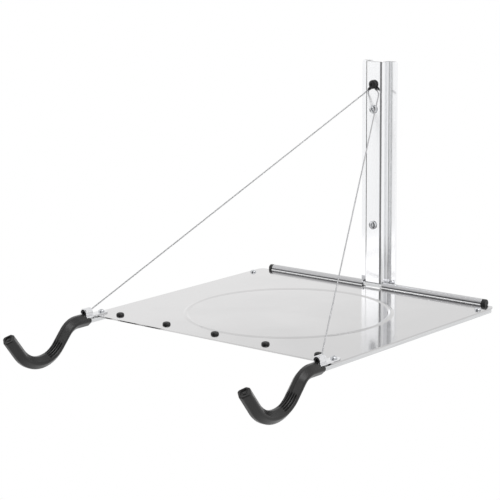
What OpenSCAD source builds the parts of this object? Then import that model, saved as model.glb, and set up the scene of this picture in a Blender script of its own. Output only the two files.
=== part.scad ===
// Folding wall rack for one bicycle: an upright rail on the wall, a tray that
// folds up about a rod at the rail's foot, two padded hooks and two stay cables.
// Origin: on the wall plane, half way between the two wall screws.
// +Z is up, +Y goes into the wall and +X is to the right for someone facing the wall.

/* [Rail] */
// Width of the rail's front channel
rail_w = 24; // [22:0.5:30]
// How far the channel stands in front of the flanges
rail_step = 10; // [10:0.5:14]
// Radius of the channel's two front corners
rail_corner_r = 4; // [2:0.5:5]
// Wall of the channel
rail_wall = 2.5; // [2:0.25:3]
// Width over both flanges
flange_w = 44; // [38:1:60]
// Thickness of the flanges
flange_t = 3; // [2.5:0.5:4]
// Radius of the flanges' corners
flange_corner_r = 2.5; // [1:0.5:4]
// Rail above the upper wall screw
rail_above = 50.5; // [42:0.5:80]
// Rail below the hinge axis
rail_foot = 9.5; // [7:0.5:14]

/* [Wall screws] */
// Distance between the two wall screws
screw_pitch = 125; // [90:5:180]
// Diameter of a wall screw
wall_screw_d = 5; // [4:0.5:5.5]
// Length of a wall screw under its head
wall_screw_len = 50; // [40:5:70]
// Diameter of a wall screw's head
wall_screw_head_d = 9.2; // [8.5:0.1:11]
// Height of a wall screw's head
wall_screw_head_h = 2.4; // [2:0.1:3.2]
// Length of a wall screw's point
wall_screw_point = 6; // [4:0.5:8]

/* [Hinge] */
// Lower wall screw to the hinge axis
hinge_drop = 66; // [55:1:100]
// Diameter of the hinge rod
rod_d = 5; // [4:0.25:5]
// Radial play of the tray's knuckles on the rod
hinge_play = 0.06; // [0.03:0.01:0.08]
// Hinge axis behind the rail's front face
axis_setback = 2; // [1.5:0.1:2]
// Hinge axis above the tray's top surface
axis_rise = 1.5; // [1.5:0.1:2]
// Tray's side edge to the end of a knuckle
knuckle_inset = 16.5; // [16:0.5:40]
// Gap between the rail's side and a knuckle
rail_gap = 1; // [0.5:0.1:2]
// Length of a rod end cap
cap_len = 4.5; // [4:0.1:6]
// Wall of a rod end cap
cap_wall = 1.5; // [1:0.1:1.5]

/* [Tray] */
// Width of the tray
tray_w = 310; // [302:1:360]
// Hinge axis to the tray's front edge
tray_reach = 279; // [270:1:330]
// Thickness of the sheet
sheet_t = 1.5; // [1:0.1:2]
// Radius of the tray's rear corners
rear_corner_r = 10; // [6:0.5:12]
// Radius of the tray's front corners
front_corner_r = 6; // [3:0.5:8]
// Hinge axis to the front of the notch at the rail
notch_reach = 8.2; // [8.2:0.1:12]
// Diameter of the round bead, to the middle of its crest
bead_d = 209; // [150:1:210]
// Width of the bead
bead_w = 5; // [4:0.5:8]
// Height of the bead
bead_h = 1; // [0.6:0.1:1.4]
// Gap between the bumpers and the bead
bead_gap = 3.8; // [1:0.1:12]

/* [Tray screws] */
// Diameter of a tray screw
tray_screw_d = 3; // [2.5:0.5:4]
// Diameter of a tray screw's head
tray_screw_head_d = 6.4; // [5.6:0.1:9]
// Height of a tray screw's head
tray_screw_head_h = 2.2; // [1.8:0.1:3]
// Hinge axis to the rear tray screws
rear_screw_reach = 25; // [22:0.5:40]
// Front edge to the front tray screws
front_screw_inset = 10.2; // [9:0.2:16]

/* [Bumpers] */
// Tray's side edge to the middle of an outer bumper
bumper_side_inset = 28.2; // [26:0.2:50]
// Front edge to the bumpers
bumper_inset = 15.3; // [10:0.1:16]
// Diameter of a bumper
bumper_d = 8.2; // [7:0.1:12]
// Height of a bumper
bumper_h = 2.6; // [2:0.1:4]
// Diameter of a bumper's stem
bumper_stem_d = 3.4; // [3:0.1:5]

/* [Hook arms] */
// Width of a hook arm
arm_w = 11; // [9:0.5:12]
// Thickness of a hook arm
arm_t = 4; // [3:0.25:5]
// Tray's side edge to the side of an arm
arm_inset = 1; // [0.5:0.1:3]
// Arm behind its rear screw
arm_tail = 21.5; // [8:0.5:22]
// Tray's front edge to the first bend
hook_lead = 25.6; // [22:0.2:36]
// Radius of the first bend, which turns down
drop_r = 21; // [14:0.5:26]
// Angle of the first bend
drop_angle = 48; // [38:1:55]
// Straight run down to the cradle
drop_run = 15.7; // [6:0.1:24]
// Radius of the cradle's bend
cradle_r = 35; // [28:0.5:42]
// Angle at which the tip rises
tip_angle = 53; // [40:1:65]
// Straight run of the tip
tip_run = 19.5; // [10:0.5:30]

/* [Hook sleeves] */
// Width of a sleeve across the arm
sleeve_w = 15; // [14:0.5:18]
// Thickness of a sleeve
sleeve_t = 13; // [10:0.5:15]
// Sleeve's middle above the arm's middle
sleeve_rise = 1; // [0:0.1:1.4]
// Tray's front edge to the sleeve
sleeve_gap = 11; // [9:0.2:14]
// Sleeve beyond the arm's tip
sleeve_cap = 3; // [2.5:0.5:6]
// Length of the flat under the cable anchor
sleeve_flat = 6; // [5.5:0.2:8]

/* [Cables] */
// Diameter of a stay cable
cable_d = 1.4; // [1:0.1:1.6]
// Top of the rail to the cable bolt
cable_bolt_drop = 24; // [18:0.5:32]
// Diameter of the cable bolt
cable_bolt_d = 6; // [5:0.5:6]
// Diameter of the cable bolt's head
cable_bolt_head_d = 9.4; // [9:0.1:12]
// Height of the cable bolt's head
cable_bolt_head_h = 1.9; // [1.8:0.1:3.5]
// Thickness of a cable eyelet
eyelet_t = 0.8; // [0.8:0.1:1.2]
// Diameter of a cable eyelet
eyelet_d = 9.2; // [8.8:0.1:11]
// Angle of an eyelet from straight down
eyelet_angle = 46; // [30:1:55]
// Diameter of an eyelet's crimp barrel
crimp_d = 2.4; // [2.2:0.1:3.2]
// Bolt's middle to the end of a crimp barrel
crimp_end = 8; // [7.8:0.1:12]

/* [Cable anchors] */
// Diameter of an anchor's barrel
anchor_d = 9; // [8.6:0.1:10]
// Length of an anchor's barrel
anchor_len = 10; // [10:0.2:12]
// Barrel's front end in front of the tray
anchor_overhang = 15.8; // [14:0.2:16.6]
// Barrel's middle above the tray
anchor_rise = 4.9; // [4.8:0.1:5.4]
// Width of an anchor's foot
anchor_foot_w = 10; // [9:0.2:11]
// Thickness of an anchor's foot
anchor_foot_t = 1.5; // [1:0.1:2]
// Anchor's foot behind the front screw
anchor_tail = 7; // [5:0.5:10]
// Diameter of the barrel's bore
anchor_bore_d = 6.5; // [6:0.1:6.6]
// Length of the plug that closes the bore
plug_len = 3.5; // [3:0.1:3.6]
// Diameter of the ball on the cable's end
stop_d = 4.4; // [4:0.1:4.6]

/* [Hidden] */

$fn = 48;
left = -1;
right = 1;
// One overrun for every cut
over = 1;
// Room around a screw in a plain hole, and around a screw in its thread
screw_play = 0.25;
thread_play = 0.05;
// Room between pieces that lie beside each other
side_play = 0.2;

// Heights and depths
rail_depth = rail_step + flange_t;
rail_top_z = screw_pitch / 2 + rail_above;
axis_y = -rail_depth + axis_setback;
axis_z = -screw_pitch / 2 - hinge_drop;
rail_bottom_z = axis_z - rail_foot;
deck_z = axis_z - axis_rise;
deck_under_z = deck_z - sheet_t;
front_y = axis_y - tray_reach;
bolt_z = rail_top_z - cable_bolt_drop;
inner_w = rail_w - 2 * rail_wall;

// Knuckles and the plate's rear edge
knuckle_bore_d = rod_d + 2 * hinge_play;
knuckle_d = knuckle_bore_d + 2 * sheet_t;
knuckle_start = rail_w / 2 + rail_gap;
knuckle_end = tray_w / 2 - knuckle_inset;
cap_gap = 0.3;
cap_d = rod_d + 2 * cap_wall;
cap_end_wall = 1.2;
plate_back = max(knuckle_d, cap_d) / 2 + 0.6 * side_play;
fillet_r = 1.4;
// Room between a cap's end and the tray's ear beside it
ear_gap = 0.7;
ear_start = knuckle_end + cap_gap + cap_len + ear_gap;
// Rod to the edge of the window in the rail's foot
window_gap = 0.3;

// Screw heads: edge rounding and cross recess, as shares of the head
head_edge_share = 0.6;
cross_w_share = 0.6;
cross_slot_share = 0.14;
cross_deep_share = 0.5;
// Wall screws: the neck under the head is as deep as the thread's root, and the point is nearly sharp
thread_deep = 0.3;
point_tip_share = 0.12;
neck_beyond = 1;

// Screws, arms and bumpers on the tray
arm_x = tray_w / 2 - arm_inset - arm_w / 2;
arm_z = deck_under_z - arm_t / 2;
rear_screw_y = axis_y - rear_screw_reach;
front_screw_y = front_y + front_screw_inset;
arm_rear_y = rear_screw_y + arm_tail;
bumper_y = front_y + bumper_inset;
bumper_count = 5;
bumper_pitch = (tray_w - 2 * bumper_side_inset) / (bumper_count - 1);
bead_y = bumper_y + bumper_d / 2 + bead_gap + bead_w / 2 + bead_d / 2;
bumper_edge_share = 0.35;
// The groove under the bead is a little shallower than the bead
groove_share = 0.9;
stem_play = 0.15;
barb_d = bumper_stem_d + 1.6;
barb_h = 2;

// Hook path, in its own plane: x goes forward from the tray's front edge and y goes up
drop_end = [hook_lead + drop_r * sin(drop_angle), -drop_r * (1 - cos(drop_angle))];
run_end = drop_end + drop_run * [cos(drop_angle), -sin(drop_angle)];
cradle_mid = run_end + cradle_r * [sin(drop_angle), cos(drop_angle)];
cradle_end = cradle_mid + cradle_r * [sin(tip_angle), -cos(tip_angle)];
drop_steps = 8;
cradle_steps = 16;
sleeve_power = 2.7;
sleeve_sides = 16;
sleeve_play = 0.1;
cap_recess = 1.2;
cap_recess_share = 0.62;
flat_rise = 1;

// Cable bolt, eyelets and cables
washer_d = 2 * cable_bolt_d;
washer_t = 1.2;
nut_across = 10;
nut_h = 5;
bolt_tail = 1.2;
button_edge_share = 0.7;
socket_share = 0.7;
socket_deep_share = 0.6;
eyelet_hole_d = cable_bolt_d + screw_play;
tongue_w = 3;
crimp_lift = 0.2;
crimp_start = cable_bolt_head_d / 2 + side_play;
crimp_grip = 2.4;
cable_bend = 4;
bend_steps = 4;
cable_sides = 8;
cable_hole_play = 0.2;

// Cable anchors
anchor_y = front_y - anchor_overhang;
anchor_z = deck_z + anchor_rise;
anchor_back_wall = 1.2;
plug_recess = 0.4;
plug_play = 0.05;
plug_socket_across = 3;
plug_socket_deep = 2;
stop_play = 0.15;
stop_y = anchor_y + plug_recess + plug_len + stop_play + stop_d / 2;

function unit(v) = v / norm(v);

function eyelet_dir(side) = [side * sin(eyelet_angle), 0, -cos(eyelet_angle)];
// The left eyelet lies on the rail and the right one on the left one
function eyelet_back_y(side) = -rail_depth - (side == left ? 0 : eyelet_t);
function crimp_y(side) = eyelet_back_y(side) - crimp_d / 2 - crimp_lift;
function crimp_point(side, r) = [0, crimp_y(side), bolt_z] + r * eyelet_dir(side);
function stop_point(side) = [side * arm_x, stop_y, anchor_z];
function elbow_point(side) = crimp_point(side, crimp_end) + cable_bend * eyelet_dir(side);
function stay_dir(side) = unit(stop_point(side) - elbow_point(side));
// The cable leaves the crimp, turns once towards the anchor and then runs straight
function cable_route(side) = concat(
    [crimp_point(side, crimp_end - crimp_grip)],
    [for (i = [0:bend_steps])
        let (t = i / bend_steps)
        elbow_point(side) - (1 - t) * (1 - t) * cable_bend * eyelet_dir(side)
            + t * t * cable_bend * stay_dir(side)],
    [stop_point(side) - stop_d / 2 * stay_dir(side)]);

// A disc with a rounded upper edge, standing on z = 0
module rounded_disc(d, h, edge) {
    rotate_extrude() {
        square([d / 2 - edge, h]);
        square([d / 2, h - edge]);
        translate([d / 2 - edge, h - edge]) intersection() {
            circle(edge);
            square(edge);
        }
    }
}

// A cross-shaped recess, cut down from z = 0
module cross_recess(width, slot, deep) {
    for (a = [0, 90])
        rotate(a) translate([-width / 2, -slot / 2, -deep]) cube([width, slot, deep + over]);
}

// A pan head that stands on z = 0, with its cross recess
module pan_head(head_d, head_h) {
    difference() {
        rounded_disc(head_d, head_h, head_edge_share * head_h);
        translate([0, 0, head_h])
            cross_recess(cross_w_share * head_d, cross_slot_share * head_d, cross_deep_share * head_h);
    }
}

// A cylinder along X between two places
module cross_bar(x0, x1, d) {
    translate([x0, axis_y, axis_z]) rotate([0, 90, 0]) cylinder(h = x1 - x0, d = d);
}

module channel_outline() {
    translate([-rail_w / 2, -rail_depth + rail_corner_r])
        square([rail_w, rail_depth - rail_corner_r]);
    translate([-rail_w / 2 + rail_corner_r, -rail_depth])
        square([rail_w - 2 * rail_corner_r, rail_depth]);
    for (side = [left, right])
        translate([side * (rail_w / 2 - rail_corner_r), -rail_depth + rail_corner_r])
            circle(rail_corner_r);
}

// One flange corner, rounded in the plane of the wall
module flange_corner_cut(side, up) {
    z = up > 0 ? rail_top_z : rail_bottom_z;
    translate([side * (flange_w / 2 - flange_corner_r), over, z - up * flange_corner_r])
        rotate([90, 0, 0]) difference() {
            translate([side > 0 ? 0 : -flange_corner_r - over, up > 0 ? 0 : -flange_corner_r - over])
                cube([flange_corner_r + over, flange_corner_r + over, flange_t + 2 * over]);
            translate([0, 0, -over])
                cylinder(h = flange_t + 4 * over, r = flange_corner_r);
        }
}

module wall_rail() {
    foot_cut_h = rail_foot + rod_d / 2 + window_gap;
    color([0.86, 0.87, 0.88]) difference() {
        translate([0, 0, rail_bottom_z]) linear_extrude(rail_top_z - rail_bottom_z)
            difference() {
                union() {
                    channel_outline();
                    translate([-flange_w / 2, -flange_t]) square([flange_w, flange_t]);
                }
                translate([-inner_w / 2, -rail_depth + rail_wall])
                    square([inner_w, rail_depth - rail_wall + over]);
            }
        for (side = [left, right], up = [-1, 1])
            flange_corner_cut(side, up);
        for (up = [-1, 1])
            translate([0, -rail_depth - over, up * screw_pitch / 2]) rotate([-90, 0, 0])
                cylinder(h = rail_wall + 2 * over, d = wall_screw_d + 2 * screw_play);
        translate([0, -rail_depth - over, bolt_z]) rotate([-90, 0, 0])
            cylinder(h = rail_wall + 2 * over, d = cable_bolt_d + 2 * screw_play);
        // The front wall is open at the foot, where the rod shows
        translate([-inner_w / 2, -rail_depth - over, rail_bottom_z - over])
            cube([inner_w, rail_wall + 2 * over, foot_cut_h + over]);
        cross_bar(-rail_w / 2 - over, rail_w / 2 + over, rod_d);
    }
}

module hinge_rod() {
    rod_half = knuckle_end + cap_gap + cap_len - cap_end_wall;
    color([0.72, 0.73, 0.75]) cross_bar(-rod_half, rod_half, rod_d);
}

module hinge_cap(side) {
    color([0.06, 0.06, 0.06]) translate([side * (knuckle_end + cap_gap), axis_y, axis_z])
        rotate([0, side * 90, 0]) difference() {
            rounded_disc(cap_d, cap_len, cap_wall / 2);
            translate([0, 0, -over]) cylinder(h = cap_len - cap_end_wall + over, d = rod_d);
        }
}

module wall_screw(up) {
    neck_len = rail_wall + neck_beyond;
    color([0.62, 0.63, 0.65]) translate([0, -rail_depth, up * screw_pitch / 2])
        rotate([90, 0, 0]) rotate(20) {
            pan_head(wall_screw_head_d, wall_screw_head_h);
            translate([0, 0, -neck_len]) cylinder(h = neck_len, d = wall_screw_d - 2 * thread_deep);
            translate([0, 0, wall_screw_point - wall_screw_len])
                cylinder(h = wall_screw_len - wall_screw_point - neck_len, d = wall_screw_d);
            translate([0, 0, -wall_screw_len])
                cylinder(h = wall_screw_point, d1 = point_tip_share * wall_screw_d, d2 = wall_screw_d);
        }
}

module cable_bolt() {
    shank = 2 * eyelet_t + rail_wall + washer_t + nut_h + bolt_tail;
    color([0.07, 0.07, 0.07]) translate([0, -rail_depth - 2 * eyelet_t, bolt_z]) rotate([90, 0, 0]) {
        difference() {
            rounded_disc(cable_bolt_head_d, cable_bolt_head_h, button_edge_share * cable_bolt_head_h);
            translate([0, 0, (1 - socket_deep_share) * cable_bolt_head_h])
                cylinder(h = cable_bolt_head_h, d = socket_share * cable_bolt_d, $fn = 6);
        }
        translate([0, 0, -shank]) cylinder(h = shank, d = cable_bolt_d);
    }
}

module cable_bolt_washer() {
    color([0.7, 0.71, 0.73]) translate([0, -rail_depth + rail_wall, bolt_z]) rotate([-90, 0, 0])
        difference() {
            cylinder(h = washer_t, d = washer_d);
            translate([0, 0, -over])
                cylinder(h = washer_t + 2 * over, d = cable_bolt_d + 2 * screw_play);
        }
}

module cable_bolt_nut() {
    color([0.7, 0.71, 0.73]) translate([0, -rail_depth + rail_wall + washer_t, bolt_z])
        rotate([-90, 0, 0]) difference() {
            cylinder(h = nut_h, d = nut_across / cos(30), $fn = 6);
            translate([0, 0, -over]) cylinder(h = nut_h + 2 * over, d = cable_bolt_d + 2 * thread_play);
        }
}

// A ring under the bolt's head, a flat tongue and the crimp barrel that holds the cable
module eyelet(side) {
    color([0.05, 0.05, 0.05]) translate([0, eyelet_back_y(side), bolt_z])
        rotate([0, -side * eyelet_angle, 0]) difference() {
            union() {
                rotate([90, 0, 0]) cylinder(h = eyelet_t, d = eyelet_d);
                translate([-tongue_w / 2, -eyelet_t, -crimp_start - over])
                    cube([tongue_w, eyelet_t, crimp_start + over - cable_bolt_d / 2]);
                translate([0, -crimp_d / 2 - crimp_lift, -crimp_end])
                    cylinder(h = crimp_end - crimp_start, d = crimp_d);
            }
            translate([0, over, 0]) rotate([90, 0, 0])
                cylinder(h = eyelet_t + 2 * over, d = eyelet_hole_d);
            translate([0, -crimp_d / 2 - crimp_lift, -crimp_end - over])
                cylinder(h = crimp_grip + over, d = cable_d);
        }
}

// A closed skin over rings of points, each ring running right-handed about the way ahead
module skin(points, sides) {
    last = len(points) / sides - 1;
    walls = [for (i = [0:last - 1], k = [0:sides - 1])
        let (a = i * sides + k, b = i * sides + (k + 1) % sides)
        [a, b, b + sides, a + sides]];
    ends = [[for (k = [sides - 1:-1:0]) k], [for (k = [0:sides - 1]) last * sides + k]];
    polyhedron(points, concat(walls, ends));
}

// The whole route lies in one plane, so every ring of the tube shares that plane's normal
module cable(side) {
    route = cable_route(side);
    last = len(route) - 1;
    flat_dir = unit(cross(eyelet_dir(side), stay_dir(side)));
    rings = [for (i = [0:last])
        let (ahead = unit(route[min(i + 1, last)] - route[max(i - 1, 0)]),
            turn_dir = cross(ahead, flat_dir))
        for (k = [0:cable_sides - 1])
            let (a = 360 * k / cable_sides)
            route[i] + cable_d / 2 * (cos(a) * flat_dir + sin(a) * turn_dir)];
    color([0.55, 0.55, 0.56]) skin(rings, cable_sides);
}

module cable_stop(side) {
    color([0.7, 0.71, 0.73]) translate(stop_point(side)) sphere(d = stop_d);
}

module anchor(side) {
    foot_end_y = front_screw_y + anchor_tail;
    color([0.8, 0.8, 0.82]) difference() {
        union() {
            translate([side * arm_x - anchor_foot_w / 2, anchor_y, deck_z])
                cube([anchor_foot_w, foot_end_y - anchor_y - anchor_foot_w / 2, anchor_foot_t]);
            translate([side * arm_x, foot_end_y - anchor_foot_w / 2, deck_z])
                cylinder(h = anchor_foot_t, d = anchor_foot_w);
            translate([side * arm_x, anchor_y + anchor_len, anchor_z]) rotate([90, 0, 0])
                cylinder(h = anchor_len, d = anchor_d);
        }
        translate([side * arm_x, anchor_y - over, anchor_z]) rotate([-90, 0, 0])
            cylinder(h = anchor_len - anchor_back_wall + over, d = anchor_bore_d);
        translate([side * arm_x, front_screw_y, deck_z - over])
            cylinder(h = anchor_foot_t + 2 * over, d = tray_screw_d + 2 * screw_play);
        // The cable's own hole, drilled along the cable
        aim = -stay_dir(side);
        translate(stop_point(side)) rotate([0, acos(aim[2]), atan2(aim[1], aim[0])])
            cylinder(h = 2 * anchor_d, d = cable_d + 2 * cable_hole_play);
    }
}

module anchor_plug(side) {
    color([0.05, 0.05, 0.05]) translate([side * arm_x, anchor_y + plug_recess, anchor_z])
        rotate([-90, 0, 0]) difference() {
            cylinder(h = plug_len, d = anchor_bore_d - 2 * plug_play);
            translate([0, 0, -over])
                cylinder(h = plug_socket_deep + over, d = plug_socket_across / cos(30), $fn = 6);
        }
}

// What rounding one corner of a plate takes away; sx and sy point to the corner
module corner_waste(x, y, r, sx, sy) {
    translate([x - sx * r, y - sy * r]) difference() {
        translate([sx > 0 ? 0 : -r - over, sy > 0 ? 0 : -r - over]) square(r + over);
        circle(r);
    }
}

module tray_outline() {
    ear_w = tray_w / 2 - ear_start;
    difference() {
        union() {
            difference() {
                union() {
                    translate([-tray_w / 2, front_y]) square([tray_w, tray_reach - plate_back]);
                    // Beside the rod's caps the plate reaches back to the hinge axis
                    for (side = [left, right])
                        translate([side > 0 ? ear_start : -tray_w / 2, axis_y - plate_back - over])
                            square([ear_w, plate_back + over]);
                }
                for (side = [left, right]) {
                    corner_waste(side * tray_w / 2, axis_y, rear_corner_r, side, 1);
                    corner_waste(side * tray_w / 2, front_y, front_corner_r, side, -1);
                }
            }
            translate([-knuckle_end, axis_y - plate_back - over])
                square([2 * knuckle_end, plate_back + over]);
        }
        translate([-knuckle_start, axis_y - notch_reach])
            square([2 * knuckle_start, notch_reach + over]);
    }
}

// The pressed bead is a shallow arch: its radius follows from its width and height
module bead(width, high) {
    r = (width * width / 4 + high * high) / (2 * high);
    rotate_extrude($fn = 96) translate([bead_d / 2, 0]) intersection() {
        translate([0, high - r]) circle(r);
        translate([-width / 2, 0]) square([width, high]);
    }
}

// The hollow corner between the plate and a knuckle, filled to a small radius
module knuckle_fillet(x0, x1) {
    lift = fillet_r - axis_rise;
    out = sqrt(pow(knuckle_d / 2 + fillet_r, 2) - lift * lift);
    translate([x0, axis_y, axis_z]) rotate([90, 0, 90]) linear_extrude(x1 - x0) difference() {
        polygon([[-out, -axis_rise], [-out, lift], [0, 0], [0, -axis_rise]]);
        translate([-out, lift]) circle(fillet_r);
    }
}

module tray() {
    color([0.84, 0.84, 0.85]) difference() {
        union() {
            translate([0, 0, deck_under_z]) linear_extrude(sheet_t) tray_outline();
            translate([0, bead_y, deck_z]) bead(bead_w, bead_h);
            cross_bar(-knuckle_end, -knuckle_start, knuckle_d);
            cross_bar(knuckle_start, knuckle_end, knuckle_d);
            knuckle_fillet(-knuckle_end, -knuckle_start);
            knuckle_fillet(knuckle_start, knuckle_end);
        }
        translate([0, bead_y, deck_under_z]) bead(bead_w - bead_h, groove_share * bead_h);
        cross_bar(-knuckle_end - over, knuckle_end + over, knuckle_bore_d);
        for (side = [left, right], y = [rear_screw_y, front_screw_y])
            translate([side * arm_x, y, deck_under_z - over])
                cylinder(h = sheet_t + 2 * over, d = tray_screw_d + 2 * screw_play);
        for (i = [1:bumper_count])
            translate([bumper_x(i), bumper_y, deck_under_z - over])
                cylinder(h = sheet_t + 2 * over, d = bumper_stem_d + 2 * stem_play);
    }
}

function bumper_x(i) = (i - (bumper_count + 1) / 2) * bumper_pitch;

module bumper(i) {
    color([0.05, 0.05, 0.05]) translate([bumper_x(i), bumper_y, deck_z]) {
        rounded_disc(bumper_d, bumper_h, bumper_edge_share * bumper_h);
        translate([0, 0, -sheet_t - side_play]) cylinder(h = sheet_t + side_play, d = bumper_stem_d);
        translate([0, 0, -sheet_t - side_play - barb_h])
            cylinder(h = barb_h, d1 = bumper_stem_d - barb_d / 4, d2 = barb_d);
    }
}

// Front screws also hold the anchors' feet, so they stand higher and reach as deep
module tray_screw(side, front) {
    lift = front ? anchor_foot_t : 0;
    shank = lift + sheet_t + arm_t;
    color([0.72, 0.73, 0.75])
        translate([side * arm_x, front ? front_screw_y : rear_screw_y, deck_z + lift])
            rotate(front ? 15 : 40) {
                pan_head(tray_screw_head_d, tray_screw_head_h);
                translate([0, 0, -shank]) cylinder(h = shank, d = tray_screw_d);
            }
}

function soft_power(c) = (c < 0 ? -1 : 1) * pow(abs(c), 2 / sleeve_power);

// The sleeve's section: x is its thickness and y its width
function sleeve_section(share) = [for (i = [0:sleeve_sides - 1])
    let (a = 360 * (i + 0.5) / sleeve_sides)
    [sleeve_rise + share * sleeve_t / 2 * soft_power(cos(a)), share * sleeve_w / 2 * soft_power(sin(a))]];

// The hook's line as stations, each a point and the direction there in degrees
function hook_line(start_x, tip) = concat(
    [[[start_x, 0], 0]],
    [for (i = [0:drop_steps])
        let (a = drop_angle * i / drop_steps)
        [[hook_lead + drop_r * sin(a), -drop_r * (1 - cos(a))], -a]],
    [for (i = [0:cradle_steps])
        let (a = (drop_angle + tip_angle) * i / cradle_steps - drop_angle)
        [cradle_mid + cradle_r * [sin(a), -cos(a)], a]],
    [[cradle_end + tip * [cos(tip_angle), sin(tip_angle)], tip_angle]]);

function beside(line, away) = [for (s = line) s[0] + away * [-sin(s[1]), cos(s[1])]];

// A flat bar that follows the hook's line; play makes room around it
module bent_bar(start_x, tip, play) {
    line = hook_line(start_x, tip);
    upper = beside(line, arm_t / 2 + play);
    lower = beside(line, -arm_t / 2 - play);
    linear_extrude(arm_w + 2 * play, center = true)
        polygon(concat(upper, [for (i = [len(lower) - 1:-1:0]) lower[i]]));
}

// Places the hook's own plane at one side of the tray
module at_hook(side) {
    translate([side * arm_x, front_y, arm_z]) rotate([90, 0, -90]) children();
}

module hook_arm(side) {
    flat_len = arm_rear_y - arm_w / 2 - front_y;
    color([0.78, 0.78, 0.8]) difference() {
        union() {
            at_hook(side) bent_bar(-flat_len, tip_run, 0);
            translate([side * arm_x, front_y + flat_len, arm_z - arm_t / 2])
                cylinder(h = arm_t, d = arm_w);
        }
        for (y = [rear_screw_y, front_screw_y])
            translate([side * arm_x, y, arm_z - arm_t / 2 - over])
                cylinder(h = arm_t + 2 * over, d = tray_screw_d + 2 * thread_play);
    }
}

module hook_sleeve(side) {
    flat_y = arm_t / 2 + flat_rise;
    outside = [for (s = hook_line(sleeve_gap, tip_run + sleeve_cap), p = sleeve_section(1))
        [s[0][0] - p[0] * sin(s[1]), s[0][1] + p[0] * cos(s[1]), p[1]]];
    color([0.08, 0.08, 0.08]) at_hook(side) difference() {
        skin(outside, sleeve_sides);
        bent_bar(sleeve_gap - over, tip_run + sleeve_play, sleeve_play);
        // The flat under the anchor, and the shallow recess in the closed tip
        translate([sleeve_gap - over, flat_y, -sleeve_w])
            cube([sleeve_flat + over, sleeve_t, 2 * sleeve_w]);
        translate(cradle_end) rotate(tip_angle) translate([tip_run + sleeve_cap - cap_recess, 0])
            rotate([90, 0, 90]) linear_extrude(cap_recess + over)
                polygon(sleeve_section(cap_recess_share));
    }
}

wall_rail();
hinge_rod();
hinge_cap(left);  // hinge_cap_left
hinge_cap(right);  // hinge_cap_right
wall_screw(1);  // wall_screw_upper
wall_screw(-1);  // wall_screw_lower
cable_bolt();
cable_bolt_washer();
cable_bolt_nut();
eyelet(left);  // eyelet_left
eyelet(right);  // eyelet_right
cable(left);  // cable_left
cable(right);  // cable_right
cable_stop(left);  // cable_stop_left
cable_stop(right);  // cable_stop_right
anchor(left);  // anchor_left
anchor(right);  // anchor_right
anchor_plug(left);  // anchor_plug_left
anchor_plug(right);  // anchor_plug_right
tray();
hook_arm(left);  // hook_arm_left
hook_arm(right);  // hook_arm_right
hook_sleeve(left);  // hook_sleeve_left
hook_sleeve(right);  // hook_sleeve_right
tray_screw(left, true);  // tray_screw_front_left
tray_screw(right, true);  // tray_screw_front_right
tray_screw(left, false);  // tray_screw_rear_left
tray_screw(right, false);  // tray_screw_rear_right
bumper(1);  // bumper_1
bumper(2);  // bumper_2
bumper(3);  // bumper_3
bumper(4);  // bumper_4
bumper(5);  // bumper_5
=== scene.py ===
# %% [markdown]
# # A folding wall rack for one bicycle
# The rack is an upright aluminium rail with a mirror-bright tray hinged at its foot. Two flat arms under the tray
# end in rubber hooks, and two wire ropes hold the tray level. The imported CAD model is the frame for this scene:
# every piece is made in the CAD's own place, so nothing has to be fitted afterwards.

# %% Load the frame
import bpy
import bmesh
from math import atan2, cos, degrees, hypot, pi, radians, sin, sqrt, tan
from mathutils import Matrix, Vector


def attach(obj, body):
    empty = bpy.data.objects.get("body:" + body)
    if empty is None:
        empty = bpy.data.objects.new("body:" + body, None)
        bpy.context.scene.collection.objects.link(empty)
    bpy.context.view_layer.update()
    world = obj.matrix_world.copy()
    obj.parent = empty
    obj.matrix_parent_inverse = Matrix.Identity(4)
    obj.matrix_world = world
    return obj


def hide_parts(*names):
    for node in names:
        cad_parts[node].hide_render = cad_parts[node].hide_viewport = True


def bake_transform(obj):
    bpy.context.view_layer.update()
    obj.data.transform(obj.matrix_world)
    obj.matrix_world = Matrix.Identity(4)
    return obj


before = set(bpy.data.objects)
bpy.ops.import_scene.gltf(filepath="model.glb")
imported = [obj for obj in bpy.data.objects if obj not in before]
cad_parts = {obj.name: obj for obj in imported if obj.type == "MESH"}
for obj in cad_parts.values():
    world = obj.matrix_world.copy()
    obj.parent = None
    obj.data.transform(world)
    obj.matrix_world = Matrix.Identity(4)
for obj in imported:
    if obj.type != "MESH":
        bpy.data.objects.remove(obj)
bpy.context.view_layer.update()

# %% [markdown]
# ## Measures
# The lengths are the CAD model's, in millimetres, because fittings like these are drawn in millimetres.
# Points are worked out in millimetres too, and turned into Blender's metres when a mesh is made.

# %% Measures shared by several pieces
MM = 0.001
LEFT, RIGHT = -1, 1
SIDES = ((LEFT, "left"), (RIGHT, "right"))
AXIS_Y, AXIS_Z = -11.0, -128.5          # the hinge rod
DECK_Z, SHEET = -130.0, 1.5             # tray's top surface and thickness
FRONT_Y = -290.0                        # tray's front edge
TRAY_HALF = 155.0
ARM_X, ARM_Z = 148.5, -133.5            # middle of a hook arm's bar
ARM_W, ARM_T = 11.0, 4.0
SCREW_REAR_Y, SCREW_FRONT_Y = -36.0, -279.8
RAIL_FRONT = -13.0
BOLT_Z = 89.0
print("tray:", 2 * TRAY_HALF, "mm wide and", AXIS_Y - FRONT_Y, "mm in front of the hinge")

# %% [markdown]
# ## Camera
# The photograph looks down at the rack from its front right corner. Its perspective was measured from the tray's
# edges, the rail and the screws, which gave the place, the direction, a small roll and the lens.

# %% Camera
def add_object(name, data):
    obj = bpy.data.objects.new(name, data)
    bpy.context.scene.collection.objects.link(obj)
    return obj

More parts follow.
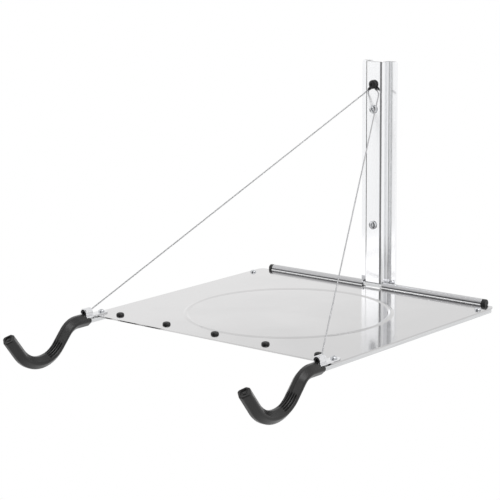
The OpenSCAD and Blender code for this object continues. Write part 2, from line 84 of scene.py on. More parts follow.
def camera_at(place, azimuth, elevation, roll, lens):
    a, e, r = radians(azimuth), radians(elevation), radians(roll)
    ahead = Vector((-sin(a) * cos(e), cos(a) * cos(e), -sin(e)))
    right = Vector((cos(a), sin(a), 0))
    up = right.cross(ahead)
    right, up = cos(r) * right + sin(r) * up, cos(r) * up - sin(r) * right
    data = bpy.data.cameras.new("camera")
    data.lens, data.sensor_width, data.sensor_fit = lens, 36, "HORIZONTAL"
    data.clip_start, data.clip_end = 0.05, 60
    camera = add_object("camera", data)
    turn = Matrix((right, up, -ahead)).transposed().to_4x4()
    camera.matrix_world = Matrix.Translation(Vector(place) * MM) @ turn
    bpy.context.scene.camera = camera
    return camera

camera = camera_at((1104.4, -1548.9, 304.4), azimuth=39.73, elevation=11.766, roll=-0.535, lens=128.8)
print("lens:", round(camera.data.lens, 1), "mm")

# %% [markdown]
# ## Light
# Bright metal shows what stands round it. The photograph's studio is white, so mirror rays see white that is only a
# little dimmer overhead, and the camera sees plain white. Everything else is lit by a softer sky, one large soft
# lamp and a fainter one from behind. No mirror shows the lamps, because a square patch of light on a polished tube
# looks like a fault.

# %% World
def new_nodes(owner, *kinds):
    """New shader nodes in a material or world, after the function that links two of them."""
    tree = owner.node_tree
    return tree.links.new, *(tree.nodes.new("ShaderNode" + kind) for kind in kinds)

def studio_world(seen, lit, overhead, level=0.22, high=0.62):
    """White sky: seen by mirrors from level down, overhead from high up, and lit for everything else."""
    world = bpy.data.worlds.new("studio")
    bpy.context.scene.world = world
    world.use_nodes = True
    world.node_tree.nodes.clear()
    link, path, where, split, ceiling, out = new_nodes(
        world, "LightPath", "TexCoord", "SeparateXYZ", "MapRange", "OutputWorld")
    link(where.outputs["Generated"], split.inputs[0])
    for key, number in (("From Min", level), ("From Max", high), ("To Min", seen), ("To Max", overhead)):
        ceiling.inputs[key].default_value = number
    link(split.outputs["Z"], ceiling.inputs["Value"])
    _, sky, white, mirrored = new_nodes(world, *["Background"] * 3)
    for light, strength in ((sky, lit), (white, seen), (mirrored, seen)):
        light.inputs["Color"].default_value = (1, 1, 1, 1)
        light.inputs["Strength"].default_value = strength
    link(ceiling.outputs["Result"], mirrored.inputs["Strength"])
    last = sky
    for ray, light in (("Is Transmission Ray", white), ("Is Glossy Ray", mirrored), ("Is Camera Ray", white)):
        mix = new_nodes(world, "MixShader")[1]
        link(path.outputs[ray], mix.inputs[0])
        link(last.outputs[0], mix.inputs[1])
        link(light.outputs[0], mix.inputs[2])
        last = mix
    link(last.outputs[0], out.inputs["Surface"])

studio_world(seen=1.0, lit=0.62, overhead=0.95)
bpy.context.scene.view_settings.view_transform = "Standard"

# %% Lamps
def soft_lamp(name, place, aim, size, power):
    data = bpy.data.lights.new(name, "AREA")
    data.shape, data.size, data.energy = "SQUARE", size, power
    lamp = add_object(name, data)
    lamp.location = place
    lamp.rotation_euler = (Vector(aim) - Vector(place)).to_track_quat("-Z", "Y").to_euler()
    lamp.visible_glossy = False
    return lamp

soft_lamp("key_lamp", (-1.3, -1.9, 1.7), (0, -0.2, -0.1), size=1.3, power=16)
soft_lamp("back_lamp", (1.6, 0.5, 1.0), (0, -0.3, -0.1), size=0.8, power=5)
print("lamps:", len(bpy.data.lights))

# %% [markdown]
# ## Floor and wall
# The rack hangs on a white wall, so the floor is far below, and the wall hides the screws' ends as it would at home.
# The camera and the mirrors see both as plain white, and the light the floor bounces is that of pale paper; the wall
# bounces no light and casts no shadow. From behind, the wall is clear, so that the rack's back can be seen.

# %% Floor and wall
def stage_plane(name, size, material):
    mesh, h = bpy.data.meshes.new(name), size / 2
    mesh.from_pydata([(-h, -h, 0), (h, -h, 0), (h, h, 0), (-h, h, 0)], [], [(0, 1, 2, 3)])
    mesh.materials.append(material)
    plane = add_object(name, mesh)
    return plane

def floor_finish():
    mat = bpy.data.materials.new("floor_paper")
    mat.use_nodes = True
    mat.node_tree.nodes.clear()
    link, path, side, either, out = new_nodes(mat, "LightPath", "NewGeometry", "Math", "OutputMaterial")
    _, paper, glow, clear, seen, below = new_nodes(
        mat, "BsdfDiffuse", "Emission", "BsdfTransparent", "MixShader", "MixShader")
    paper.inputs["Color"].default_value = (0.82, 0.82, 0.82, 1)
    glow.inputs["Strength"].default_value = 1.0
    either.operation = "MAXIMUM"
    link(path.outputs["Is Camera Ray"], either.inputs[0])
    link(path.outputs["Is Glossy Ray"], either.inputs[1])
    link(either.outputs[0], seen.inputs[0])
    link(paper.outputs[0], seen.inputs[1])
    link(glow.outputs[0], seen.inputs[2])
    link(side.outputs["Backfacing"], below.inputs[0])
    link(seen.outputs[0], below.inputs[1])
    link(clear.outputs[0], below.inputs[2])
    link(below.outputs[0], out.inputs["Surface"])
    return mat

FLOOR_Z, WALL_Y = -1.1, 0.0004          # metres; the wall is just behind the rail's back
paper = floor_finish()
floor = stage_plane("floor", 12, paper)
floor.location = (0, 0, FLOOR_Z)
wall = stage_plane("wall", 8, paper)
wall.rotation_euler = (radians(90), 0, 0)
wall.location = (0, WALL_Y, 0)
wall.visible_diffuse = wall.visible_shadow = False
print("stage:", floor.name, wall.name)

# %% [markdown]
# ## Cards and screens
# A mirror that sees only white looks like paper, so photographers stand dark cards round the work: they draw the dark
# lines along the rail's round corners. A low lit screen at the front left makes the rail's face white, and its image
# in the tray as well, and a high one at the right gives the rubber its satin light. None of these is part of the
# rack, and they show in reflections alone.

# %% Cards and screens
def card_finish(name, glow=0.0):
    mat = bpy.data.materials.new(name)
    mat.use_nodes = True
    shader = mat.node_tree.nodes["Principled BSDF"]
    shader.inputs["Base Color"].default_value = (0.02, 0.02, 0.022, 1)
    shader.inputs["Roughness"].default_value = 0.9
    shader.inputs["Emission Color"].default_value = (1, 1, 1, 1)
    shader.inputs["Emission Strength"].default_value = glow
    return mat

def card(name, finish, start, end, low, high, far=2.4):
    """A curved card round the rack; angles from straight ahead of the wall to the right, and up from level."""
    mesh, n = bpy.data.meshes.new(name), 12
    corners = []
    for k in range(n + 1):
        a = radians(start + (end - start) * k / n)
        corners += [(far * sin(a), -far * cos(a), far * tan(radians(e))) for e in (low, high)]
    mesh.from_pydata(corners, [], [(2 * k, 2 * k + 1, 2 * k + 3, 2 * k + 2) for k in range(n)])
    mesh.materials.append(finish)
    curved = add_object(name, mesh)
    curved.visible_camera = curved.visible_diffuse = curved.visible_shadow = False
    return curved

dark, grey = card_finish("dark_card"), card_finish("grey_card", glow=0.16)
dim, bright = card_finish("low_screen", glow=1.7), card_finish("high_screen", glow=5.0)
cards = [card("front_card", grey, start=-28, end=33, low=-24, high=50),
         card("side_card", dark, start=-120, end=-53, low=-24, high=-1),
         card("low_screen", dim, start=-62, end=-28, low=3.0, high=11.0, far=1.6),
         card("high_screen", bright, start=62, end=135, low=36, high=62, far=1.6)]
print("cards:", [c.name for c in cards])

# %% [markdown]
# ## Building with rings
# Most of the rack is round or drawn out to a length, so most pieces are rings of points joined by faces. A lathe
# turns a profile into rings, and a sweep carries a section along a line. A shape is kept as (points, faces) until it
# is finished, so that shapes can be moved, joined and cut before they become a Blender mesh. A finished piece is
# shaded smooth up to a crease angle, and its normals are weighted by area, which keeps a flat mirror flat.

# %% Shapes from rings
def skin(rings, cap=True):
    """Joins rings of equally many points into one surface, with flat ends if cap is set."""
    n = len(rings[0])
    points = [p for ring in rings for p in ring]
    faces = [(i * n + k, i * n + (k + 1) % n, (i + 1) * n + (k + 1) % n, (i + 1) * n + k)
             for i in range(len(rings) - 1) for k in range(n)]
    if cap:
        faces += [tuple(range(n))[::-1], tuple(range((len(rings) - 1) * n, len(rings) * n))]
    return points, faces

def lathe(profile, steps=48, cap=True):
    """Turns (radius, height) pairs about the Z axis."""
    return skin([[(r * cos(2 * pi * k / steps), r * sin(2 * pi * k / steps), z) for k in range(steps)]
                 for r, z in profile], cap)

def flat_ring(hole, r, long, edge, steps=48):
    """A washer or tube with softened edges, from 0 up to long."""
    return lathe([(hole, edge), (hole + edge, 0), (r - edge, 0), (r, edge), (r, long - edge), (r - edge, long),
                  (hole + edge, long), (hole, long - edge), (hole, edge)], steps, cap=False)

def extruded(outline, low, high):
    """Lifts a flat outline from low to high."""
    return skin([[(x, y, low) for x, y in outline], [(x, y, high) for x, y in outline]])

def moved(shape, matrix):
    return [matrix @ Vector(p) for p in shape[0]], shape[1]

def joined(*shapes):
    points, faces = [], []
    for p, f in shapes:
        faces += [tuple(i + len(points) for i in face) for face in f]
        points += list(p)
    return points, faces

def arc(cx, cy, r, start, end, steps):
    """Points on a circle, angles in degrees, both ends included."""
    return [(cx + r * cos(radians(start + (end - start) * k / steps)),
             cy + r * sin(radians(start + (end - start) * k / steps))) for k in range(steps + 1)]

def along(direction, place=(0, 0, 0), spin=0):
    """A matrix that stands a lathed shape up along a direction, at a place in millimetres."""
    turn = Vector(direction).to_track_quat("Z", "Y").to_matrix().to_4x4()
    return Matrix.Translation(Vector(place)) @ turn @ Matrix.Rotation(radians(spin), 4, "Z")

# %% From a shape to a piece
def mesh_of(name, shape, scale):
    mesh = bpy.data.meshes.new(name)
    mesh.from_pydata([tuple(Vector(p) * scale) for p in shape[0]], [], shape[1])
    bm = bmesh.new()
    bm.from_mesh(mesh)
    bmesh.ops.remove_doubles(bm, verts=bm.verts, dist=0.002 * scale)
    bmesh.ops.dissolve_degenerate(bm, edges=bm.edges, dist=0.0005 * scale)
    bmesh.ops.recalc_face_normals(bm, faces=bm.faces)
    bm.to_mesh(mesh)
    bm.free()
    return mesh

def piece(name, shape, finish, body, nodes, crease=32, bevel=0.0, segments=3):
    """Makes the object, gives it its finish and hangs it on its CAD body."""
    mesh = mesh_of(name, shape, MM)
    mesh.materials.append(finish)
    mesh.shade_smooth()
    mesh.set_sharp_from_angle(angle=radians(crease))
    obj = add_object(name, mesh)
    if bevel:
        soft = obj.modifiers.new("softened_edges", "BEVEL")
        soft.width, soft.segments, soft.limit_method = bevel * MM, segments, "ANGLE"
        soft.angle_limit = radians(crease)
    obj.modifiers.new("even_normals", "WEIGHTED_NORMAL").keep_sharp = True
    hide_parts(*nodes)
    if body:
        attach(obj, body)
    print(name, len(mesh.polygons), "faces")
    return obj

# %% [markdown]
# ## Cutting
# Recesses, slots and windows are cut with Blender's exact boolean, one tool at a time. The cutting is done at one
# unit to the millimetre, where the numbers are comfortable for the solver.

# %% Cutting one shape with another
def cut(shape, tool, how="DIFFERENCE"):
    pair = [add_object("bench", mesh_of("bench", s, 1.0)) for s in (shape, tool)]
    knife = pair[0].modifiers.new("cut", "BOOLEAN")
    knife.operation, knife.solver, knife.object = how, "EXACT", pair[1]
    result = bpy.data.meshes.new_from_object(pair[0].evaluated_get(bpy.context.evaluated_depsgraph_get()))
    out = ([v.co.copy() for v in result.vertices], [tuple(f.vertices) for f in result.polygons])
    for obj in pair:
        old = obj.data
        bpy.data.objects.remove(obj)
        bpy.data.meshes.remove(old)
    bpy.data.meshes.remove(result)
    return out

def box(x0, x1, y0, y1, z0, z1):
    return extruded([(x0, y0), (x1, y0), (x1, y1), (x0, y1)], z0, z1)

def hexagon(r, low, high):
    """For nuts and for key sockets."""
    return extruded([(r * cos(radians(60 * k)), r * sin(radians(60 * k))) for k in range(6)], low, high)

# %% [markdown]
# ## Finishes: how a material is put together
# A finish is a Principled shader whose colour, roughness and fine relief come from noise. The noise reads object
# coordinates, so its grain keeps one real size on every piece. Drawn or rolled metal is the same noise stretched
# along the direction in which the metal was worked.

# %% Noise
def new_finish(name, metallic, specular=0.5):
    mat = bpy.data.materials.new(name)
    mat.use_nodes = True
    shader = mat.node_tree.nodes["Principled BSDF"]
    shader.inputs["Metallic"].default_value = metallic
    shader.inputs["Specular IOR Level"].default_value = specular
    return mat, shader

def grain(mat, per_mm, detail, rough=0.55):
    """Noise with so many grains per millimetre along X, Y and Z."""
    link, where, stretch, noise = new_nodes(mat, "TexCoord", "Mapping", "TexNoise")
    stretch.inputs["Scale"].default_value = [g / MM for g in per_mm]
    noise.inputs["Scale"].default_value = 1.0
    noise.inputs["Detail"].default_value = detail
    noise.inputs["Roughness"].default_value = rough
    link(where.outputs["Object"], stretch.inputs["Vector"])
    link(stretch.outputs["Vector"], noise.inputs["Vector"])
    return noise.outputs["Fac"]

def blended(mat, first, second, share):
    """Adds two numbers by their shares."""
    link, mix = new_nodes(mat, "Mix")
    mix.inputs[0].default_value = share
    link(first, mix.inputs[2])
    link(second, mix.inputs[3])
    return mix.outputs[0]

# %% [markdown]
# ### From noise to a look
# The noise is one grey value from 0 to 1. A map range turns it into a roughness, a colour ramp into a colour and a
# bump node into fine relief. When one noise drives all three, a mark in the metal is darker, duller and deeper at
# once, as it would be on the real thing, so one function serves nearly every metal here.

# %% Colour, roughness and relief
def spread(mat, value, low, high, start=0.3, stop=0.7):
    """Maps noise to a range of numbers."""
    link, ranged = new_nodes(mat, "MapRange")
    for key, number in (("From Min", start), ("From Max", stop), ("To Min", low), ("To Max", high)):
        ranged.inputs[key].default_value = number
    link(value, ranged.inputs["Value"])
    return ranged.outputs["Result"]

def place_on(mat, axis, start, stop):
    """0 to 1 between two places in millimetres along an axis."""
    link, where, split = new_nodes(mat, "TexCoord", "SeparateXYZ")
    link(where.outputs["Object"], split.inputs[0])
    return spread(mat, split.outputs[axis], 0.0, 1.0, start * MM, stop * MM)

def tint(mat, value, dark, light):
    """Maps noise to colours between dark and light."""
    link, ramp = new_nodes(mat, "ValToRGB")
    for stop, place, colour in zip(ramp.color_ramp.elements, (0.32, 0.68), (dark, light)):
        stop.position, stop.color = place, (*colour, 1)
    link(value, ramp.inputs["Fac"])
    return ramp.outputs["Color"]

def relief(mat, shader, value, depth_mm, strength):
    """Turns noise into fine bumps."""
    link, bump = new_nodes(mat, "Bump")
    bump.inputs["Distance"].default_value = depth_mm * MM
    bump.inputs["Strength"].default_value = strength
    link(value, bump.inputs["Height"])
    link(bump.outputs["Normal"], shader.inputs["Normal"])

def wire(mat, shader, colour, roughness):
    link = mat.node_tree.links.new
    link(colour, shader.inputs["Base Color"])
    link(roughness, shader.inputs["Roughness"])

def metal(name, per_mm, detail, dark, light, rough, bumps, painted_light_by_place=None, metallic=1.0):
    """A metal made from one noise; a place along an axis, if given, is mixed into its colour by a share, which paints
    light or shade by place.
    """
    mat, shader = new_finish(name, metallic)
    noise = grain(mat, per_mm, detail)
    tone = blended(mat, noise, place_on(mat, *painted_light_by_place[:3]), painted_light_by_place[3]) if painted_light_by_place else noise
    wire(mat, shader, tint(mat, tone, dark, light), spread(mat, noise, *rough))
    relief(mat, shader, noise, *bumps)
    return mat

# %% [markdown]
# ## Finish: the tray's mirror sheet
# The tray is polished sheet steel. It mirrors the rail sharply at the foot and more softly further away, so it is
# smooth but not perfect: hairline polishing marks run across it, and the tone drifts in broad patches and from left
# to right. The knuckles' colour is darker towards their underside, which is painted shade, and the hollow corner in
# front of them is painted bright only at its foot, a painted highlight, with painted shade above it.

# %% Mirror sheet
def mirror_sheet():
    mat, shader = new_finish("mirror_sheet", 1.0)
    hairlines = grain(mat, (0.02, 1.6, 1.6), 3.0)
    patches = grain(mat, (0.012, 0.012, 0.012), 2.0)
    mixed = blended(mat, patches, place_on(mat, "X", TRAY_HALF, -TRAY_HALF), 0.5)
    wire(mat, shader, tint(mat, mixed, (0.56, 0.556, 0.558), (0.67, 0.664, 0.666)),
         spread(mat, hairlines, 0.07, 0.13))
    relief(mat, shader, hairlines, 0.004, 0.12)
    return mat

sheet = mirror_sheet()
# Painted shade: the knuckles' colour darkens below the rod's middle.
rolled = metal("rolled_sheet_painted_shade", (0.03, 1.4, 1.4), 4.0, (0.10, 0.10, 0.105), (0.56, 0.56, 0.57), rough=(0.28, 0.38),
               bumps=(0.004, 0.1), painted_light_by_place=("Z", AXIS_Z - 0.9, AXIS_Z + 2.6, 0.85))
# Painted highlight and shade: the hollow corner's colour is bright at its foot and dark above it.
corner = metal("corner_painted_highlight_and_shade", (0.03, 1.4, 1.4), 3.0, (0.08, 0.08, 0.085), (0.95, 0.95, 0.955), rough=(0.18, 0.26),
               bumps=(0.003, 0.1), painted_light_by_place=("Z", AXIS_Z - 0.6, AXIS_Z - 0.95, 0.85))
print("finishes:", sheet.name, rolled.name, corner.name)

# %% [markdown]
# ## Finish: the rail's bright aluminium
# Extruded aluminium carries faint lines along its length, from the die it was pushed through. The noise is stretched
# along Z, and the same lines drive a little roughness and relief. The ends are left dull by the saw, whose marks run
# across the wall's thickness, so they are a finish of their own.

# %% Bright aluminium
aluminium = metal("bright_aluminium", (2.4, 2.4, 0.01), 3.0, (0.90, 0.905, 0.92), (0.95, 0.955, 0.965),
                  rough=(0.13, 0.19), bumps=(0.005, 0.1))
sawn = metal("sawn_aluminium", (0.3, 2.6, 2.6), 4.0, (0.16, 0.16, 0.165), (0.26, 0.26, 0.265),
             rough=(0.45, 0.6), bumps=(0.03, 0.35))
print("finishes:", aluminium.name, sawn.name)

# %% [markdown]
# ## Finish: drawn steel, zinc plate and chrome
# The arms and the rod are bright drawn steel with lines along their length. The screws are zinc-plated, which is
# mottled and greyer. The anchors are chrome, the smoothest of the four.

# %% Drawn steel, zinc and chrome
def drawn_steel(name, per_mm):
    return metal(name, per_mm, 4.0, (0.60, 0.605, 0.615), (0.72, 0.725, 0.73), rough=(0.16, 0.30), bumps=(0.01, 0.2))

arm_steel = drawn_steel("arm_steel", (1.5, 0.02, 1.5))
rod_steel = drawn_steel("rod_steel", (0.02, 1.8, 1.8))
zinc = metal("zinc_plate", (0.9, 0.9, 0.9), 5.0, (0.50, 0.51, 0.54), (0.74, 0.75, 0.76),
             rough=(0.10, 0.22), bumps=(0.02, 0.15))
chrome = metal("chrome_plate", (0.5, 0.5, 0.5), 4.0, (0.66, 0.665, 0.68), (0.80, 0.80, 0.81),
               rough=(0.06, 0.14), bumps=(0.01, 0.08))
print("finishes:", arm_steel.name, rod_steel.name, zinc.name, chrome.name)

# %% [markdown]
# ## Finish: wire rope
# Each rope is bright steel wire that has gone a little grey. The strands are modelled, so the material only adds
# darker dirt, as small patches of colour.

# %% Wire rope steel
rope = metal("rope_steel", (2.5, 2.5, 2.5), 5.0, (0.38, 0.38, 0.39), (0.66, 0.66, 0.67),
             rough=(0.48, 0.62), bumps=(0.02, 0.3))
print("finish:", rope.name)

# %% [markdown]
# ## Finish: black rubber, black plastic and black steel
# The hooks' sleeves are satin moulded rubber: nearly black, with the soft grain of the mould and slightly worn,
# greyer places. The bottoms of their grooves get a darker, rougher copy of the rubber: painted shade. The
# bumpers are the same rubber but darker, the rod's caps are smoother plastic, and the bolt and eyelets are steel with
# a black oxide skin.

# %% Blacks
def moulded_black(name, dark, light, rough, depth_mm):
    mat, shader = new_finish(name, 0.0, 0.4)
    pores, wear = grain(mat, (2.2, 2.2, 2.2), 6.0, 0.6), grain(mat, (0.06, 0.06, 0.06), 3.0)
    wire(mat, shader, tint(mat, wear, dark, light), spread(mat, wear, *rough))
    relief(mat, shader, pores, depth_mm, 0.35)
    return mat

sleeve_rubber = moulded_black("sleeve_rubber", (0.008, 0.0076, 0.0076), (0.016, 0.0152, 0.0152), (0.27, 0.37), 0.012)
# Painted shade: a darker, rougher copy of the sleeve rubber for the groove bottoms.
groove_painted_shade = moulded_black("groove_painted_shade", (0.002,) * 3, (0.004,) * 3, (0.75, 0.9), 0.02)
bumper_rubber = moulded_black("bumper_rubber", (0.010,) * 3, (0.018,) * 3, (0.38, 0.5), 0.02)
cap_plastic = moulded_black("cap_plastic", (0.008,) * 3, (0.014,) * 3, (0.28, 0.4), 0.01)
oxide = metal("oxide_black", (1.1, 1.1, 1.1), 5.0, (0.018, 0.018, 0.02), (0.05, 0.05, 0.052),
              rough=(0.3, 0.5), bumps=(0.02, 0.2), metallic=0.55)
print("finishes:", sleeve_rubber.name, groove_painted_shade.name, bumper_rubber.name, cap_plastic.name, oxide.name)

# %% [markdown]
# ## The rail
# The rail is one hat-shaped extrusion: a raised channel with two round front corners, and a flange on each side that
# lies on the wall. Its section is drawn once and lifted, then the flanges' corners are rounded and the window at the
# foot is cut, where the hinge rod shows. The two end faces get the sawn finish, and a fine bevel breaks every edge,
# as a file would.

# %% Rail section
RAIL_HALF, FLANGE_HALF, FLANGE_T, RAIL_WALL, CORNER = 12.0, 22.0, 3.0, 2.5, 4.0
RAIL_LOW, RAIL_HIGH, ROOT = -138.0, 113.0, 1.1
WINDOW_UP, OVER = 2.8, 0.5              # window above the rod's middle; how far a tool overruns

def rail_section():
    inner, inside = RAIL_HALF - RAIL_WALL, RAIL_FRONT + RAIL_WALL
    right = arc(RAIL_HALF - CORNER, RAIL_FRONT + CORNER, CORNER, -90, 0, 12)
    right += arc(RAIL_HALF + ROOT, -FLANGE_T - ROOT, ROOT, 180, 90, 6)
    right += [(FLANGE_HALF, -FLANGE_T), (FLANGE_HALF, 0), (inner, 0), (inner, inside)]
    return right + [(-x, y) for x, y in reversed(right)]

# %% Rail
def corner_tool(side, up):
    """What is left outside a rounded flange corner, as a tool to cut with."""
    r, z = 2.5, RAIL_HIGH if up > 0 else RAIL_LOW
    cx, cz = side * (FLANGE_HALF - r), z - up * r
    ring = [(cx + side * r * sin(radians(90 * k / 8)), cz + up * r * cos(radians(90 * k / 8))) for k in range(9)]
    ring += [(side * (FLANGE_HALF + 1), cz), (side * (FLANGE_HALF + 1), z + up), (cx, z + up)]
    return skin([[(x, y, zz) for x, zz in ring] for y in (-FLANGE_T - OVER, OVER)])

def rail_shape():
    shape = extruded(rail_section(), RAIL_LOW, RAIL_HIGH)
    for side in (LEFT, RIGHT):
        for up in (-1, 1):
            shape = cut(shape, corner_tool(side, up))
    inner = RAIL_HALF - RAIL_WALL
    return cut(shape, box(-inner, inner, RAIL_FRONT - 1, RAIL_FRONT + RAIL_WALL + OVER, RAIL_LOW - 1,
                          AXIS_Z + WINDOW_UP))

rail = piece("rail", rail_shape(), aluminium, "rail", ["wall_rail"], bevel=0.2, segments=2)
rail.data.materials.append(sawn)
for face in rail.data.polygons:
    if abs(face.normal.z) > 0.9 and not (RAIL_LOW + 0.1) * MM < face.center.z < (RAIL_HIGH - 0.1) * MM:
        face.material_index = 1
print("sawn faces:", sum(face.material_index for face in rail.data.polygons))

# %% [markdown]
# ## Screws
# A pan-head screw is a turned head with a cross recess and a threaded shank. The head is lathed and the recess cut
# with two tapered bars. The thread is a lathe whose radius rises and falls along a spiral, which needs no boolean.

# %% Head, recess and thread
def pan_profile(d, h):
    dome = [(d / 2 * (0.42 + 0.58 * cos(radians(a))), h * (0.36 + 0.64 * sin(radians(a))))
            for a in range(15, 91, 15)]
    return [(0.01, 0), (d / 2 - 0.15, 0), (d / 2, 0.15), (d / 2, 0.36 * h)] + dome + [(0.01, h)]

def tapered_bar(width, slot, top, deep):
    ends = ((top + 0.5, width / 2, slot / 2), (top - deep, 0.55 * width / 2, 0.6 * slot / 2))
    return skin([[(-w, -s, z), (w, -s, z), (w, s, z), (-w, s, z)] for z, w, s in ends])

def cross_head(d, h):
    bar = tapered_bar(0.56 * d, 0.15 * d, h, 0.62 * h)
    head = cut(lathe(pan_profile(d, h), 40), bar)
    return cut(head, moved(bar, Matrix.Rotation(radians(90), 4, "Z")))

def thread(root, crest, pitch, start, end, point=0.0, steps=20):
    """A spiral thread that runs down from start to end, with a tapered point if asked for."""
    count = max(2, int((start - end) / (pitch / 8)))
    rings = []
    for i in range(count + 1):
        z = start + (end - start) * i / count
        left = z - end
        slim = min(1.0, 0.06 + 0.94 * left / point) if point else 1.0
        ring = []
        for k in range(steps):
            t = (z / pitch + k / steps) % 1.0
            lift = max(0.0, 1 - abs(t - 0.5) / 0.3) * min(1.0, (start - z) / pitch)
            r = slim * (root + (crest - root) * lift)
            ring.append((r * cos(2 * pi * k / steps), r * sin(2 * pi * k / steps), z))
        rings.append(ring)
    return skin(rings)

# %% Wall screws
WALL_SCREW_UP, NECK_R = 62.5, 2.2       # one screw so far above zero, one below

def wall_screw(up):
    spiral = thread(root=1.85, crest=2.48, pitch=2.0, start=-3.5, end=-50.0, point=6.0, steps=24)
    screw = joined(cross_head(d=9.2, h=2.4), lathe([(NECK_R, 0.2), (NECK_R, -4.0)], 24), spiral)
    return moved(screw, along((0, -1, 0), (0, RAIL_FRONT, up * WALL_SCREW_UP), spin=20))

piece("wall_screw_top", wall_screw(1), zinc, "rail", ["wall_screw_upper"])
piece("wall_screw_bottom", wall_screw(-1), zinc, "rail", ["wall_screw_lower"])

# %% [markdown]
# ## The tray
# The tray is one sheet with round corners, a notch for the rail, a large pressed ring and two rolled knuckles. The
# sheet is an outline lifted to its thickness. The ring stands up on top and is hollow below, as a press leaves it:
# an arch whose edges run out flat is turned for both, so that the mirror bends without a crease.

# %% Tray outline
KNUCKLE_R, KNUCKLE_BORE, KNUCKLE_IN, KNUCKLE_OUT = 4.06, 2.56, 13.0, 138.5
NOTCH_Y, BACK_Y = AXIS_Y - 8.2, AXIS_Y - 4.18
REAR_R, NOSE_R, NOTCH_R, EAR_X = 10.0, 6.0, 1.5, 144.0

def tray_outline():
    half = arc(TRAY_HALF - NOSE_R, FRONT_Y + NOSE_R, NOSE_R, -90, 0, 8)
    half += arc(TRAY_HALF - REAR_R, AXIS_Y - REAR_R, REAR_R, 0, 90, 14)
    half += [(EAR_X, AXIS_Y), (EAR_X, BACK_Y), (KNUCKLE_OUT, BACK_Y), (KNUCKLE_OUT, AXIS_Y), (KNUCKLE_IN, AXIS_Y),
             (KNUCKLE_IN, NOTCH_Y + NOTCH_R)]
    half += arc(KNUCKLE_IN - NOTCH_R, NOTCH_Y + NOTCH_R, NOTCH_R, 0, -90, 4)[1:]
    return half + [(-x, y) for x, y in reversed(half)]

# %% Pressed ring
RING_Y, RING_R = -159.8, 104.5

def arch(width, high, base, steps=14):
    """A low arch across the ring's width that meets the sheet at a gentle slope."""
    return [(RING_R + width / 2 * t, base + (high - base) * (0.5 + 0.5 * cos(pi * t)) ** 0.8)
            for t in (-1 + 2 * k / steps for k in range(steps + 1))]

def turned_arch(width, high, base, below, z):
    """The arch turned round the ring's middle and closed below: one is the ridge, another cuts the hollow."""
    rise, half = arch(width, high, base), width / 2
    ring = lathe(rise + [(RING_R + half, below), (RING_R - half, below), rise[0]], 160, cap=False)
    return moved(ring, Matrix.Translation((0, RING_Y, z)))

# %% [markdown]
# ### Knuckles
# The sheet's rear edge is rolled into a tube round the rod, once on each side of the rail. The tube is a lathe laid
# along X with softened ends, and a hollow corner leads from the sheet up to it, its colour a painted highlight at
# its foot. The tube's own colour is painted darker on its underside, a painted shade.

# %% Knuckles
def knuckle(side):
    tube = flat_ring(KNUCKLE_BORE, KNUCKLE_R, KNUCKLE_OUT - KNUCKLE_IN, 0.25, 64)
    return moved(tube, along((side, 0, 0), (side * KNUCKLE_IN, AXIS_Y, AXIS_Z)))

def hollow_corner(side):
    r, rise = 1.4, AXIS_Z - DECK_Z
    lift = r - rise
    out = sqrt((KNUCKLE_R + r) ** 2 - lift ** 2)
    touch = degrees(atan2(lift, out))
    curve = arc(-out, lift, r, -90, -touch, 8)
    section = curve + [(-1.0, -1.0), (-1.0, -rise - 0.4), (-out, -rise - 0.4)]
    return skin([[(x, AXIS_Y + y, AXIS_Z + z) for y, z in section]
                 for x in (side * KNUCKLE_IN, side * KNUCKLE_OUT)])

# %% Tray
def tray_shape():
    plate, reach = extruded(tray_outline(), DECK_Z - SHEET, DECK_Z), TRAY_HALF + 5
    rod_room = lathe([(KNUCKLE_BORE, -reach), (KNUCKLE_BORE, reach)], 64)
    plate = cut(plate, moved(rod_room, along((1, 0, 0), (0, AXIS_Y, AXIS_Z))))
    return cut(plate, turned_arch(4.4, 0.9, -0.2, -1.2, DECK_Z - SHEET))

piece("tray_sheet", tray_shape(), sheet, "tray", ["tray"], bevel=0.3)
piece("tray_ring", turned_arch(6.2, 1.0, -0.03, -0.6, DECK_Z), sheet, "tray", [], crease=60)
for side, word in SIDES:
    piece("knuckle_" + word, knuckle(side), rolled, "tray", [])
    piece("knuckle_corner_" + word, hollow_corner(side), corner, "tray", [], crease=50)

# %% [markdown]
# ## Hinge rod and caps
# The rod is plain drawn bar, bare in front of the rail's foot. Its ends carry black push-on caps with a rounded rim.

# %% Rod and caps
ROD_R, ROD_END, CAP_IN, CAP_R, CAP_LEN, CAP_ROUND = 2.5, 142.1, 138.8, 4.0, 4.5, 0.9
rod = lathe([(0.01, -ROD_END), (ROD_R - 0.3, -ROD_END), (ROD_R, -ROD_END + 0.3), (ROD_R, ROD_END - 0.3),
             (ROD_R - 0.3, ROD_END), (0.01, ROD_END)], 48)
piece("rod", moved(rod, along((1, 0, 0), (0, AXIS_Y, AXIS_Z))), rod_steel, "rail", ["hinge_rod"])

def rod_cap(side):
    rim = arc(CAP_R - CAP_ROUND, CAP_LEN - CAP_ROUND, CAP_ROUND, 0, 90, 6)
    cap = lathe([(2.52, 0.2), (2.8, 0), (CAP_R - 0.15, 0), (CAP_R, 0.15)] + rim +
                [(1.4, CAP_LEN), (1.2, CAP_LEN - 0.2), (0.01, CAP_LEN - 0.2)], 48)
    return moved(cap, along((side, 0, 0), (side * CAP_IN, AXIS_Y, AXIS_Z)))

for side, word in SIDES:
    piece("rod_cap_" + word, rod_cap(side), cap_plastic, "rail", ["hinge_cap_" + word])

# %% [markdown]
# ## The hooks' line
# Each arm runs straight under the tray, turns down, swings through a wide cradle and ends in a rising tip. The line
# is three straights and two arcs in an upright plane. It is walked in small steps, each with its place and its
# slope, and the bar and the rubber sleeve are both swept along it.

# %% The hooks' line
LEAD, DROP_R, DROP, DROP_RUN = 25.6, 21.0, radians(48), 15.7
CRADLE_R, TIP, TIP_RUN, SLEEVE_CAP, SLEEVE_START = 35.0, radians(53), 19.5, 3.0, 11.0

